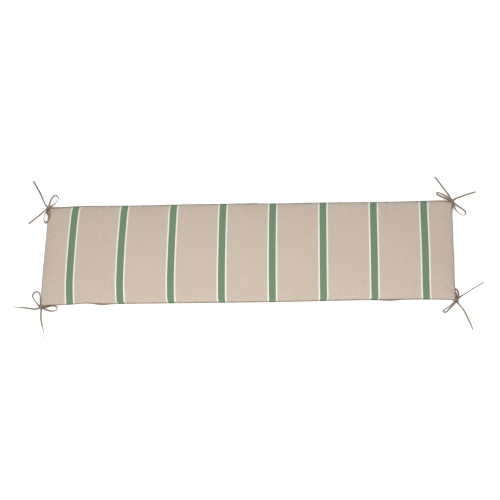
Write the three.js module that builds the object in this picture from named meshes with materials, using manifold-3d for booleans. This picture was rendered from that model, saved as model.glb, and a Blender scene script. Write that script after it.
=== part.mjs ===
// A long bench cushion with a pair of narrow fabric ties at each corner.
// Millimetres, +Z up. The origin is the middle of the flat face that it rests on,
// X runs along the bench, and the front edge is on the -Y side.

import * as THREE from 'three';
import { mergeVertices } from 'three/addons/utils/BufferGeometryUtils.js';
import Module from 'manifold-3d';

const wasm = await Module();
wasm.setup();

// Cushion
const LENGTH = 1504;            // over the corners
const DEPTH = 389;              // over the corners
const THICKNESS = 64;           // from the resting face to the top of the crown
const SEAM_HEIGHT = 20;         // the seam round the edge, at the middle of a side
const CORNER_SEAM_DROP = 5;     // how much lower the seam runs at a corner
const CORNER_DROP_ALONG = 14;   // exponents that keep that drop close to the corner
const CORNER_DROP_ACROSS = 4;
const DRAW_IN = 2.5;            // each side is pulled in by this at its middle
const CORNER_RADIUS = 8;
const BELLY = 34;               // how far the underside would bulge below the seam if it hung free
const LENGTH_FULLNESS = 9;      // exponent of the crown along the bench: high is full to the ends
const DEPTH_FULLNESS = 2.2;     // exponent of the crown from front to back
const EDGE_ROUNDING = 0.45;     // exponent that turns the crown down steeply at the seam

// Slow waves over the grid, each with a height and a rate and a start in both directions.
const UNEVEN_CROWN = { height: 1.2, alongRate: 7.3, alongStart: 0.6, acrossRate: 2.6, acrossStart: -0.5 };
const UNEVEN_SEAM = { height: 0.9, alongRate: 9.1, alongStart: 0.8, acrossRate: 2.3, acrossStart: 0.4 };

// Where the ties and the filling pull a side in further: the place along that side from -1 to 1, the
// reach to either side of it, and the depth. A negative depth pushes the side out.
const PULLS = {
  left: [
    { place: 0.9, reach: 0.75, depth: 6 }, { place: 1, reach: 0.1, depth: 3.5 },
    { place: -1, reach: 0.25, depth: 3 },
  ],
  right: [
    { place: -0.95, reach: 0.6, depth: 4.5 }, { place: 0, reach: 4, depth: 1.2 },
    { place: 1, reach: 0.12, depth: -1.5 },
  ],
  front: [
    { place: 0.5, reach: 0.3, depth: 4.7 }, { place: 0.9, reach: 0.2, depth: 4 },
    { place: -0.78, reach: 0.06, depth: 4 }, { place: 0.3, reach: 0.35, depth: -1.8 },
  ],
  back: [
    { place: -0.95, reach: 0.1, depth: 4 }, { place: 0, reach: 0.13, depth: -2 },
    { place: 0.55, reach: 0.25, depth: 2.2 }, { place: 1, reach: 0.03, depth: 3 },
  ],
};

// Section through the edge, from the seam to the rim of the face. A row's share is its part of that
// way, inset is its distance inside the outline, and rise, where given, its height off the seam.
const EDGE_ROWS = [
  { share: 0, inset: -1.3, rise: 0 },
  { share: 0.25, inset: 0.5, rise: 1.3 },
  { share: 0.5, inset: 1.4 },
  { share: 0.75, inset: 3.4 },
  { share: 1, inset: 7 },
];

// Soft creases in the cover, pulled by the ties. Each runs from x, y along its heading in degrees.
const CREASES = [
  { x: 741, y: -160, heading: 137, reach: 70, width: 7.5, depth: 4.6 },
  { x: 739, y: -176, heading: 170, reach: 40, width: 8, depth: 1.6 },
  { x: -735, y: 177, heading: -52, reach: 46, width: 8, depth: 2.2 },
  { x: -725, y: 182, heading: -14, reach: 52, width: 8, depth: 1.4 },
  { x: 741, y: 180, heading: 232, reach: 48, width: 8, depth: 2.1 },
  { x: -741, y: -179, heading: 47, reach: 50, width: 8, depth: 2.0 },
  { x: -728, y: -184, heading: 12, reach: 56, width: 8, depth: 1.3 },
];

// Places where the underside bulges out past the front seam.
const FRONT_BULGES = [
  { x: -526, reach: 34, out: 4.5 },
  { x: 512, reach: 40, out: 4.0 },
];

const BULGE_BAND = 0.85;        // a bulge takes in the grid from here to the front edge

// Grid of the cover
const STEPS_LENGTH = 52;
const STEPS_DEPTH = 18;
const STEPS_EDGE = 8;           // rows of the side, two for each step of EDGE_ROWS
const CLOSER_AT_ENDS = 0.6;     // 0 is an even grid, 1 crowds it fully to the sides

// Ties: flat tape, cut plain at the ends
const TAPE_WIDTH = 7;
const TAPE_THICKNESS = 1.5;
const TAPE_CHAMFER = 0.45;
const TAPE_STEP = 9;            // length of one step of a sweep
const KNOT_RADII = [9, 7, 6];
const KNOT_BAND_RADIUS = 6.5;
const KNOT_BAND_TUBE = 2.1;
const KNOT_SIDES = [10, 7];     // round and along the lump
const KNOT_BAND_SIDES = [5, 12];
const CLEARANCE = 0.35;         // between a tie and the cover that it is sewn into

// Routes of the ties. Points are measured from the cushion's corner: x, y, the height above the
// resting face, and the turn of the tape about its run in degrees, 0 lying flat and 90 on edge.
// Each corner has two strands. A strand leaves the seam by its root, goes out and back as one
// loop of the bow, and ends in a free tail.
const TIES = [
  {
    name: 'tie_back_left', side: [-1, 1], knot: [6.5, -5.5, 15.5], band: 72,
    strands: [
      {
        root: [[8, -36, 17, 80], [3.5, -27, 17, 78], [3, -16, 16.5, 65], [5.5, -8.5, 16, 30]],
        loop: [[6.5, -6.5, 13.2, 0], [6, 7.5, 11, 15], [7.5, 22, 7, 30], [11.5, 36.5, 4.8, 45],
          [17.5, 47, 4.2, 50], [26, 51.5, 4.2, 52], [34, 48, 4.2, 52], [38, 38.5, 4.8, 50],
          [34, 26.5, 7, 45], [24, 12.5, 12, 30], [15, 1.5, 16, 15], [7.5, -4.5, 17.4, 0]],
        tail: [[6.5, -5.5, 15, 10], [-8.5, -10.5, 9, 15], [-23.5, -22, 3.4, 5], [-39.5, -35, 1.1, 0],
          [-55, -48.5, 1, 0], [-70, -61.5, 1, 0]],
      },
      {
        root: [[6.2, -36, 17, 80], [1.5, -27, 16.6, 78], [0.5, -16.5, 15.5, 65], [3.5, -8.5, 14, 30]],
        loop: [[5.5, -7.5, 12.4, 0], [-4, -18.5, 9.5, 40], [-11, -32, 5.5, 60], [-12.5, -44.5, 4.2, 62],
          [-9, -55.5, 5.8, 55], [-4.5, -61.5, 12, 40], [5, -63, 21, 20], [11, -58.5, 27, 0],
          [14.5, -47, 30.5, 0], [13.5, -33, 29, 0], [11, -18.5, 23, 0], [7, -7, 17.8, 0]],
        tail: [[6.5, -5.5, 15, 10], [-8.5, 11.5, 9, 40], [-19.5, 32.5, 4, 50], [-27.5, 51.5, 2.2, 20],
          [-39.5, 73.5, 1, 0], [-51.5, 94, 1, 0], [-63.5, 114.5, 1, 0]],
      },
    ],
  },
  {
    name: 'tie_front_left', side: [-1, -1], knot: [4, -5, 13], band: -37,
    strands: [
      {
        root: [[48, 1, 17, 80], [33, -3, 16.8, 78], [19, -5.5, 16, 65], [8, -6, 14.5, 30]],
        loop: [[5, -5.5, 11.2, 0], [19.5, -3, 8, 15], [34, 1, 6, 20], [46.5, 2.5, 4.6, 30],
          [56, -1.5, 4.2, 45], [60.5, -8, 4.2, 50], [56.5, -15, 4.2, 40], [43.5, -18.5, 4.6, 28],
          [27.5, -16, 7, 20], [14, -11, 11, 10], [5, -5, 15, 0]],
        tail: [[4, -5, 13, 10], [-9, -9, 8.5, 15], [-21, -9.5, 4, 5], [-37, -7, 1.4, 0],
          [-54.5, -4, 1.3, 4], [-71, -2.8, 3, 30], [-86, -1.5, 3.8, 52], [-100.5, 0.5, 3.7, 48]],
      },
      {
        root: [[48, -0.8, 17, 80], [33, -5, 16.4, 78], [19, -8, 15, 65], [8, -8.5, 12.5, 30]],
        loop: [[4, -4, 11, 0], [-7.5, 3, 8.5, 30], [-19, 17, 5.5, 55], [-30, 31.5, 4.2, 52],
          [-33.5, 43, 4.2, 52], [-28.5, 53, 4.2, 52], [-19, 57, 4.2, 52], [-9.5, 51.5, 4.6, 50],
          [-5.5, 40.5, 6, 50], [-3, 24.5, 8.5, 40], [-0.5, 9, 11.5, 25], [4, -3.5, 15.4, 0]],
        tail: [[4, -5, 13, 10], [3, -18, 8.5, 15], [2.2, -32, 4, 8], [3, -46.5, 1.4, 0],
          [6, -62, 1.8, 10], [10.5, -77, 3.4, 40], [16, -96, 4, 70], [21, -119.5, 4, 76]],
      },
    ],
  },
  {
    name: 'tie_back_right', side: [1, 1], knot: [-0.5, -3, 15], band: -37,
    strands: [
      {
        root: [[-3, -36, 17, 80], [2, -26, 17, 78], [1.5, -16, 16.5, 65], [0, -7, 16, 30]],
        loop: [[-1, -2.5, 13.2, 0], [-10.5, 11.5, 11, 10], [-24, 24.5, 8, 20], [-38.5, 34.5, 5, 30],
          [-48.5, 39.5, 4.2, 45], [-54, 38, 4.2, 50], [-52, 31.5, 4.5, 50], [-42, 23, 6.5, 45],
          [-27.5, 14.5, 10, 35], [-13, 5, 14, 15], [-0.5, -3, 17.4, 0]],
        tail: [[-0.5, -3, 15, 10], [11, 8, 10, 15], [23.5, 16, 5, 8], [36, 22, 1.8, 0],
          [48.5, 26.5, 1, 0], [61.5, 31, 1, 0], [76.5, 35.5, 1, 0], [90.5, 40, 1, 0]],
      },
      {
        root: [[-1.2, -36, 17, 80], [4, -26, 16.6, 78], [3.5, -16, 14.6, 65], [2, -7, 12.6, 30]],
        loop: [[0, -4, 12.6, 0], [13, -12.5, 10, 15], [27.5, -23, 7, 25], [41.5, -33, 4.6, 35],
          [48.5, -41.5, 4.2, 45], [47.5, -49.5, 4.2, 52], [40.5, -53.5, 4.2, 52], [29.5, -50, 4.6, 50],
          [17.5, -40, 7, 45], [9, -25, 12, 30], [3, -10, 16, 10], [-0.5, -3.5, 17.6, 0]],
        tail: [[-0.5, -3, 15, 10], [-5.5, 15.5, 8, 15], [-12.5, 33.5, 3, 5], [-21.5, 48, 1.2, 0],
          [-34, 68, 1, 0], [-45.5, 85.5, 1, 0], [-57, 104, 1, 0]],
      },
    ],
  },
  {
    name: 'tie_front_right', side: [1, -1], knot: [-3, 1.5, 13], band: 58,
    strands: [
      {
        root: [[-7.5, 34, 17, 80], [-2, 24, 16.8, 78], [-2.5, 14.5, 16, 65], [-3, 5.5, 14.5, 30]],
        loop: [[-3, 2, 11.2, 0], [-5, 11.5, 8, 35], [-5.5, 25, 5.5, 50], [-4.5, 37.5, 4.2, 52],
          [-3, 48, 4.2, 52], [1.5, 47, 4.2, 52], [6, 38, 5, 50], [7.5, 24.5, 8, 45], [3, 10.5, 12.5, 20],
          [-3, 1.5, 15.2, 0]],
        tail: [[-3, 1.5, 13, 10], [4.5, 10.5, 9.5, 30], [15, 19, 6, 58], [26.5, 26.8, 4.3, 68],
          [43.5, 37.8, 4.1, 76], [60, 48.8, 4.1, 78], [79.5, 60.3, 4.1, 78], [99, 72.3, 4, 72]],
      },
      {
        root: [[-5.7, 34, 17, 80], [0, 24, 16.4, 78], [0, 14.5, 15, 65], [-0.5, 5.5, 12.5, 30]],
        loop: [[-3, 1, 11, 0], [-14, -7.5, 9, 25], [-25, -16, 6.5, 45], [-37.5, -23.5, 4.6, 50],
          [-47, -29, 4.2, 52], [-49.5, -35, 4.2, 52], [-43, -39.5, 4.2, 50], [-32.5, -32.5, 5.5, 45],
          [-20.5, -20.5, 8.5, 35], [-9.5, -8.5, 12, 15], [-3, 1.5, 15, 0]],
        tail: [[-3, 1.5, 13, 10], [4, -8, 9.5, 38], [15, -20.5, 5.2, 60], [24.5, -34, 3.4, 42],
          [31, -47.5, 2.2, 16], [37, -62.5, 2.4, 20], [43.5, -80.5, 3.8, 55], [51.5, -104.5, 4.1, 76]],
      },
    ],
  },
];

const coverMaterial = new THREE.MeshStandardMaterial({ color: 0xcfbdab, roughness: 0.9, metalness: 0 });
const tapeMaterial = new THREE.MeshStandardMaterial({ color: 0x9a8672, roughness: 0.85, metalness: 0 });

// A closed geometry as a solid that can be joined and cut.
function solidOf(geometry) {
  const bare = geometry.clone();
  bare.deleteAttribute('normal');
  bare.deleteAttribute('uv');
  const merged = mergeVertices(bare, 1e-4);
  return new wasm.Manifold(new wasm.Mesh({
    numProp: 3,
    vertProperties: new Float32Array(merged.attributes.position.array),
    triVerts: new Uint32Array(merged.index.array),
  }));
}

// The solid's surface as a geometry again.
function geometryOf(solid) {
  const mesh = solid.getMesh();
  const geometry = new THREE.BufferGeometry();
  geometry.setAttribute('position', new THREE.BufferAttribute(mesh.vertProperties, 3));
  geometry.setIndex(new THREE.BufferAttribute(mesh.triVerts, 1));
  geometry.computeVertexNormals();
  return geometry;
}

// A grid coordinate from -1 to 1, moved so that the grid is closer near both ends.
function crowded(t) {
  return THREE.MathUtils.lerp(t, Math.sin(t * Math.PI / 2), CLOSER_AT_ENDS);
}

// How far a side is pulled in at a place along it.
function pullAt(pulls, place) {
  return pulls.reduce((total, pull) => total + pull.depth * bell(place - pull.place, pull.reach), 0);
}

// The height of a slow wave at a grid point.
function waveAt(wave, u, v) {
  return wave.height * Math.sin(u * wave.alongRate + wave.alongStart)
    * Math.cos(v * wave.acrossRate + wave.acrossStart);
}

// A bell of height 1 at 0 that dies away over the reach.
function bell(distance, reach) {
  return Math.exp(-((distance / reach) ** 2));
}

// The row of the edge's section at a share of the way from the seam to the rim.
function edgeRow(share) {
  return EDGE_ROWS.find((row) => Math.abs(row.share - share) < 1e-6);
}

// How far the creases pull the face down at a point.
function creaseDepth(x, y) {
  let total = 0;
  for (const crease of CREASES) {
    const heading = THREE.MathUtils.degToRad(crease.heading);
    const along = (x - crease.x) * Math.cos(heading) + (y - crease.y) * Math.sin(heading);
    const across = (y - crease.y) * Math.cos(heading) - (x - crease.x) * Math.sin(heading);
    const fade = 1 - THREE.MathUtils.smoothstep(along, 0, crease.reach);
    total += crease.depth * fade * bell(Math.min(along, 0), crease.width) * bell(across, crease.width);
  }
  return total;
}

// A corner of the plain outline moved onto its rounded one.
function roundCorner(x, y, halfLength, halfDepth) {
  const dx = Math.abs(x) - (halfLength - CORNER_RADIUS);
  const dy = Math.abs(y) - (halfDepth - CORNER_RADIUS);
  if (dx <= 0 || dy <= 0) return [x, y];
  const pull = Math.max(dx, dy) / Math.hypot(dx, dy);
  return [
    Math.sign(x) * (halfLength - CORNER_RADIUS + dx * pull),
    Math.sign(y) * (halfDepth - CORNER_RADIUS + dy * pull),
  ];
}

// The point of the cover for a point of a cube from -1 to 1: its top becomes the face, its
// bottom the underside, and the middle of its sides the seam. Grow moves the cover outwards.
function coverPoint(a, b, c, grow) {
  const row = edgeRow(Math.abs(c));
  const u = crowded(a);
  const v = crowded(b);
  const wander = waveAt(UNEVEN_SEAM, u, v);
  const halfLength = LENGTH / 2 - DRAW_IN * (1 - v * v) - pullAt(u < 0 ? PULLS.left : PULLS.right, v);
  const halfDepth = DEPTH / 2 - DRAW_IN * (1 - u * u) - pullAt(v < 0 ? PULLS.front : PULLS.back, u)
    + wander * Math.abs(v);
  const plainX = u * (halfLength - row.inset);
  const plainY = v * (halfDepth - row.inset);
  let [x, y] = roundCorner(plainX, plainY, halfLength, halfDepth);

  const atCorner = Math.abs(u) ** CORNER_DROP_ALONG * Math.abs(v) ** CORNER_DROP_ACROSS;
  const seam = SEAM_HEIGHT - CORNER_SEAM_DROP * atCorner + wander;
  const fullX = 1 - Math.min(Math.abs(plainX) / halfLength, 1) ** LENGTH_FULLNESS;
  const fullY = 1 - Math.min(Math.abs(plainY) / halfDepth, 1) ** DEPTH_FULLNESS;
  const full = (fullX * fullY) ** EDGE_ROUNDING;
  let z = seam;
  if (row.rise !== undefined) {
    z += Math.sign(c) * row.rise;
  } else if (c > 0) {
    z += (THICKNESS - SEAM_HEIGHT + waveAt(UNEVEN_CROWN, u, v)) * full
      - creaseDepth(x, y) * THREE.MathUtils.smoothstep(full, 0, 0.12);
  } else {
    z -= BELLY * full;
  }
  if (c < 0 && v < 0) {
    const low = THREE.MathUtils.smoothstep(-v, BULGE_BAND, 1);
    for (const bulge of FRONT_BULGES) y -= bulge.out * low * bell(x - bulge.x, bulge.reach);
  }
  return [x + grow * u, y + grow * v, z + grow * Math.sign(c)];
}

// The filled cover as one closed solid, cut level where it rests.
function cushionSolid(grow) {
  const cover = new THREE.BoxGeometry(2, 2, 2, STEPS_LENGTH, STEPS_DEPTH, STEPS_EDGE);
  const position = cover.attributes.position;
  for (let i = 0; i < position.count; i += 1) {
    position.setXYZ(i, ...coverPoint(position.getX(i), position.getY(i), position.getZ(i), grow));
  }
  const belowFloor = new THREE.BoxGeometry(2 * LENGTH, 2 * DEPTH, 2 * BELLY).translate(0, 0, -BELLY);
  return solidOf(cover).subtract(solidOf(belowFloor));
}

// A tape's middle line, with the tape turned about it as its table says.
class TapeCurve extends THREE.CatmullRomCurve3 {
  constructor(rows, corner) {
    super(rows.map(([x, y, z]) => new THREE.Vector3(corner[0] + x, corner[1] + y, z)), false, 'centripetal');
    this.turns = rows.map((row) => THREE.MathUtils.degToRad(row[3]));
  }

  turnAt(t) {
    const place = t * (this.turns.length - 1);
    const before = Math.min(Math.floor(place), this.turns.length - 2);
    return THREE.MathUtils.lerp(this.turns[before], this.turns[before + 1], place - before);
  }

  computeFrenetFrames(steps) {
    const up = new THREE.Vector3(0, 0, 1);
    const frames = { tangents: [], normals: [], binormals: [] };
    for (let i = 0; i <= steps; i += 1) {
      const tangent = this.getTangentAt(i / steps).normalize();
      const level = new THREE.Vector3().crossVectors(up, tangent).normalize();
      const width = level.applyAxisAngle(tangent, this.turnAt(this.getUtoTmapping(i / steps)));
      frames.tangents.push(tangent);
      frames.normals.push(width);
      frames.binormals.push(new THREE.Vector3().crossVectors(tangent, width).normalize());
    }
    return frames;
  }
}

// The tape's section: a thin bar with its corners taken off, eight sides in all.
function tapeSection() {
  const x = TAPE_WIDTH / 2;
  const y = TAPE_THICKNESS / 2;
  const c = TAPE_CHAMFER;
  return new THREE.Shape([
    [x, c - y], [x, y - c], [x - c, y], [c - x, y], [-x, y - c], [-x, c - y], [c - x, -y], [x - c, -y],
  ].map(([px, py]) => new THREE.Vector2(px, py)));
}

// One stretch of tape along its rows of points.
function tapeSolid(rows, corner) {
  const extrudePath = new TapeCurve(rows, corner);
  const steps = Math.ceil(extrudePath.getLength() / TAPE_STEP);
  return solidOf(new THREE.ExtrudeGeometry(tapeSection(), { steps, extrudePath, bevelEnabled: false }));
}

// The pulled-tight middle of a bow: a small lump of tape with the band that goes round it.
function knotSolid(tie, corner) {
  const place = [corner[0] + tie.knot[0], corner[1] + tie.knot[1], tie.knot[2]];
  const turn = THREE.MathUtils.degToRad(tie.band);
  const lump = new THREE.SphereGeometry(1, ...KNOT_SIDES)
    .scale(...KNOT_RADII).rotateZ(turn).translate(...place);
  const band = new THREE.TorusGeometry(KNOT_BAND_RADIUS, KNOT_BAND_TUBE, ...KNOT_BAND_SIDES)
    .rotateY(Math.PI / 2).rotateZ(turn).translate(...place);
  return solidOf(lump).add(solidOf(band));
}

// The tied bow of one corner, trimmed clear of the cover.
function tieSolid(tie, keepClear) {
  const corner = [tie.side[0] * LENGTH / 2, tie.side[1] * DEPTH / 2];
  let bow = knotSolid(tie, corner);
  for (const strand of tie.strands) {
    for (const rows of [strand.root, strand.loop, strand.tail]) bow = bow.add(tapeSolid(rows, corner));
  }
  return bow.subtract(keepClear);
}

function addPiece(group, name, solid, material) {
  const piece = new THREE.Mesh(geometryOf(solid), material);
  piece.name = name;
  group.add(piece);
}

const benchCushion = new THREE.Group();
addPiece(benchCushion, 'cushion', cushionSolid(0), coverMaterial);
const keepClear = cushionSolid(CLEARANCE);
for (const tie of TIES) {
  addPiece(benchCushion, tie.name, tieSolid(tie, keepClear), tapeMaterial.clone());
}

export default benchCushion;
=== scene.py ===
"""A long filled bench cushion in a striped canvas cover, with tape ties in bows at its corners.

Sizes in the classes are millimetres, as in the part's source; meshes are turned to metres when made.
"""

import logging
import math
from dataclasses import dataclass, field
from enum import Enum
from typing import Any

import bmesh
import bpy
from mathutils import Matrix, Vector, noise


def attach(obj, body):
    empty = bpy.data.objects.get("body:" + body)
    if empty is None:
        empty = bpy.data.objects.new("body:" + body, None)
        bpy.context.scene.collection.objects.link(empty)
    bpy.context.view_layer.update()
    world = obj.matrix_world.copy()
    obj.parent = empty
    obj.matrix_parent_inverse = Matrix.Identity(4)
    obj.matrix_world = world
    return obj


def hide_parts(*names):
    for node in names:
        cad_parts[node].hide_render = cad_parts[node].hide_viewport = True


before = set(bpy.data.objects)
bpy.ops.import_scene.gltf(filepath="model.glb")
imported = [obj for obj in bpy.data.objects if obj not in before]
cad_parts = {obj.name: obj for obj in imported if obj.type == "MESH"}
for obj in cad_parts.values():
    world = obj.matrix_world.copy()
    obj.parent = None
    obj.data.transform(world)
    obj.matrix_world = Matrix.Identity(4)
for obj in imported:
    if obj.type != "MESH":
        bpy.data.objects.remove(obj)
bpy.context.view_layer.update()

LOG = logging.getLogger("bench_cushion")
BODY = "root"
MM = 0.001
CLOTH_UV = "cloth"               # metres of cloth, so that patterns follow the surface
PAINTED_SEAM_AND_BACK_SHADE = "painted_seam_and_back_shade"        # painted shade: 1 in the crease of the seam and on most of the back side, 0 away from it
LONG_PUCKER = "long_pucker"      # 1 at the long sides' seam, where the stitching gathers the cloth
END_PUCKER = "end_pucker"        # the same at the two ends
TIE_SHADE = "tie_shade"          # painted shade: 1 where a tie is pulled tight and lies in its own shadow

Row = tuple[float, float, float, float]


class Panel(Enum):
    """The part of the cover that a face belongs to."""

    FACE = "face"
    LONG_SIDE = "long side"
    END_SIDE = "end side"


def smooth_step(value: float, low: float, high: float) -> float:
    """Returns 0 below low, 1 above high and a smooth rise between them."""
    share = min(max((value - low) / (high - low), 0.0), 1.0)
    return share * share * (3.0 - 2.0 * share)


def bell(distance: float, reach: float) -> float:
    """Returns a bump of height 1 at distance 0 that dies away over the reach."""
    return math.exp(-((distance / reach) ** 2))


def between(low: float, high: float, share: float) -> float:
    """Returns the value at a share of the way from low to high."""
    return low + (high - low) * share


def linear_colour(hex_value: int) -> tuple[float, float, float, float]:
    """Turns an sRGB hex colour into linear light.

    Args:
        hex_value: The colour as 0xRRGGBB.

    Returns:
        Linear red, green and blue, and an alpha of 1.
    """
    channels = []
    for shift in (16, 8, 0):
        value = ((hex_value >> shift) & 0xFF) / 255.0
        channels.append(value / 12.92 if value <= 0.04045 else ((value + 0.055) / 1.055) ** 2.4)
    return (channels[0], channels[1], channels[2], 1.0)


def add_node(
    tree: bpy.types.NodeTree, kind: str, inputs: dict[Any, Any] | None = None, **settings: Any
) -> bpy.types.Node:
    """Adds a node with its settings, input values and links.

    Args:
        tree: The node tree that gets it.
        kind: The node's type.
        inputs: Values, sockets or nodes by input name or number. A node gives its first live output.
        settings: Properties of the node itself.

    Returns:
        The new node.
    """
    node = tree.nodes.new(kind)
    for name, value in settings.items():
        setattr(node, name, value)
    live = [socket for socket in node.inputs if socket.enabled]
    for key, value in (inputs or {}).items():
        socket = live[key] if isinstance(key, int) else next(s for s in live if s.name == key)
        if isinstance(value, bpy.types.Node):
            value = next(s for s in value.outputs if s.enabled)
        if isinstance(value, bpy.types.NodeSocket):
            tree.links.new(value, socket)
        else:
            socket.default_value = value
    return node


def new_material(name: str) -> tuple[bpy.types.Material, bpy.types.NodeTree]:
    """Returns a new node material of that name, and its empty tree."""
    material = bpy.data.materials.new(name)
    material.use_nodes = True
    material.node_tree.nodes.clear()
    return material, material.node_tree


def object_from(bm: bmesh.types.BMesh, name: str) -> bpy.types.Object:
    """Makes a smooth-shaded object of a bmesh and frees the bmesh.

    Args:
        bm: The finished mesh.
        name: The object's name.

    Returns:
        The object, in the scene and at the origin.
    """
    for face in bm.faces:
        face.smooth = True
    mesh = bpy.data.meshes.new(name)
    bm.to_mesh(mesh)
    bm.free()
    piece = bpy.data.objects.new(name, mesh)
    bpy.context.scene.collection.objects.link(piece)
    return piece


def dress(piece: bpy.types.Object, material: bpy.types.Material, node: str) -> None:
    """Gives a finished piece its material and tells the frame what it is.

    Args:
        piece: The new object.
        material: Its finish.
        node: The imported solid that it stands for.
    """
    piece.data.materials.append(material)
    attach(piece, BODY)
    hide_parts(node)
    LOG.info("%s: %d faces, for %s", piece.name, len(piece.data.polygons), node)


@dataclass(frozen=True)
class StripedCanvas:
    """Plain-woven cotton and polyester canvas with yarn-dyed stripes.

    Its threads lie close and dull, so it looks matt and a little dry, with faint uneven streaks. The
    stripes are woven in, so they follow the cloth over the crown and down to the seam.
    """

    sand: int = 0xB3A598
    sand_shade: int = 0xA7998C
    green: int = 0x5F775D
    white: int = 0xCDCAC7
    # Painted shadow colour: the warm brown that the seam's crease and the back side are darkened towards.
    painted_seam_shadow: int = 0xB2A390
    pitch: float = 183.65
    middle: float = 2.6
    green_width: float = 24.8
    white_width: float = 5.3
    softness: float = 0.5
    # Real threads lie 0.5 mm apart. They are drawn three times as coarse, which is the finest that shows.
    thread: float = 1.5
    thread_depth: float = 0.2
    pucker_scale: tuple[float, float] = (48.0, 7.0)
    pucker_depth: float = 5.0
    roughness: float = 0.9
    sheen: float = 0.1

    def stripe_mask(
        self, tree: bpy.types.NodeTree, distance: bpy.types.Node, half_width: float
    ) -> bpy.types.Node:
        """Adds a mask of the cloth nearer to a stripe's middle than half a width.

        Args:
            tree: The material's tree.
            distance: The distance in metres to the nearest stripe's middle.
            half_width: The half width in millimetres.

        Returns:
            The node, which gives 1 inside and 0 outside.
        """
        return add_node(tree, "ShaderNodeMapRange", {
            "Value": distance,
            "From Min": (half_width + self.softness) * MM,
            "From Max": (half_width - self.softness) * MM,
        }, interpolation_type="SMOOTHSTEP")

    def material(self) -> bpy.types.Material:
        """Builds the cloth's material, which reads the cloth UV map and the painted shade of the seam and the
        back side.
        """
        material, tree = new_material("striped_woven_canvas")
        cloth = add_node(tree, "ShaderNodeUVMap", uv_map=CLOTH_UV)
        parts = add_node(tree, "ShaderNodeSeparateXYZ", {0: cloth})
        along, across = parts.outputs["X"], parts.outputs["Y"]

        # Slubs: threads of uneven thickness that run with the stripes as faint streaks.
        streak_place = add_node(tree, "ShaderNodeMapping", {"Vector": cloth, "Scale": (480.0, 10.0, 1.0)})
        streaks = add_node(tree, "ShaderNodeTexNoise", {
            "Vector": streak_place, "Scale": 1.0, "Detail": 2.0, "Roughness": 0.6,
        }, noise_dimensions="2D")
        patches = add_node(tree, "ShaderNodeTexNoise", {
            "Vector": cloth, "Scale": 7.0, "Detail": 2.0, "Roughness": 0.5,
        }, noise_dimensions="2D")
        tone = add_node(tree, "ShaderNodeMix", {"Factor": 0.4, "A": streaks, "B": patches})
        ground = add_node(tree, "ShaderNodeMix", {
            "Factor": tone, "A": linear_colour(self.sand_shade), "B": linear_colour(self.sand),
        }, data_type="RGBA")

        # The eight stripes lie half a pitch to either side of the middle, and whole pitches from there.
        start = add_node(tree, "ShaderNodeMath", {0: along, 1: self.middle * MM}, operation="SUBTRACT")
        wrapped = add_node(tree, "ShaderNodeMath", {
            0: start, 1: self.pitch * MM, 2: 0.0,
        }, operation="WRAP")
        centred = add_node(tree, "ShaderNodeMath", {0: wrapped, 1: self.pitch / 2 * MM}, operation="SUBTRACT")
        distance = add_node(tree, "ShaderNodeMath", {0: centred}, operation="ABSOLUTE")
        with_white = add_node(tree, "ShaderNodeMix", {
            "Factor": self.stripe_mask(tree, distance, self.green_width / 2 + self.white_width),
            "A": ground, "B": linear_colour(self.white),
        }, data_type="RGBA")
        with_green = add_node(tree, "ShaderNodeMix", {
            "Factor": self.stripe_mask(tree, distance, self.green_width / 2),
            "A": with_white, "B": linear_colour(self.green),
        }, data_type="RGBA")

        # Warp over weft: where the two sets of threads rise and sink in turn.
        beat = 2.0 * math.pi / (self.thread * MM)
        warp_turn = add_node(tree, "ShaderNodeMath", {0: along, 1: beat}, operation="MULTIPLY")
        weft_turn = add_node(tree, "ShaderNodeMath", {0: across, 1: beat}, operation="MULTIPLY")
        warp = add_node(tree, "ShaderNodeMath", {0: warp_turn}, operation="SINE")
        weft = add_node(tree, "ShaderNodeMath", {0: weft_turn}, operation="SINE")
        weave = add_node(tree, "ShaderNodeMath", {0: warp, 1: weft}, operation="MULTIPLY")
        thread_tone = add_node(tree, "ShaderNodeMath", {
            0: weave, 1: 0.055, 2: 0.985,
        }, operation="MULTIPLY_ADD")
        # Painted shade: the cloth is darkened towards a warm shadow colour in the seam's crease and on the
        # back side.
        seam = add_node(tree, "ShaderNodeAttribute", attribute_name=PAINTED_SEAM_AND_BACK_SHADE).outputs["Fac"]
        painted_seam_shadow = add_node(tree, "ShaderNodeMix", {
            "Factor": seam, "A": linear_colour(0xFFFFFF), "B": linear_colour(self.painted_seam_shadow),
        }, data_type="RGBA")
        threads = add_node(tree, "ShaderNodeVectorMath", {
            "Vector": with_green, "Scale": thread_tone,
        }, operation="SCALE")
        colour = add_node(tree, "ShaderNodeVectorMath", {0: threads, 1: painted_seam_shadow}, operation="MULTIPLY")

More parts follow.
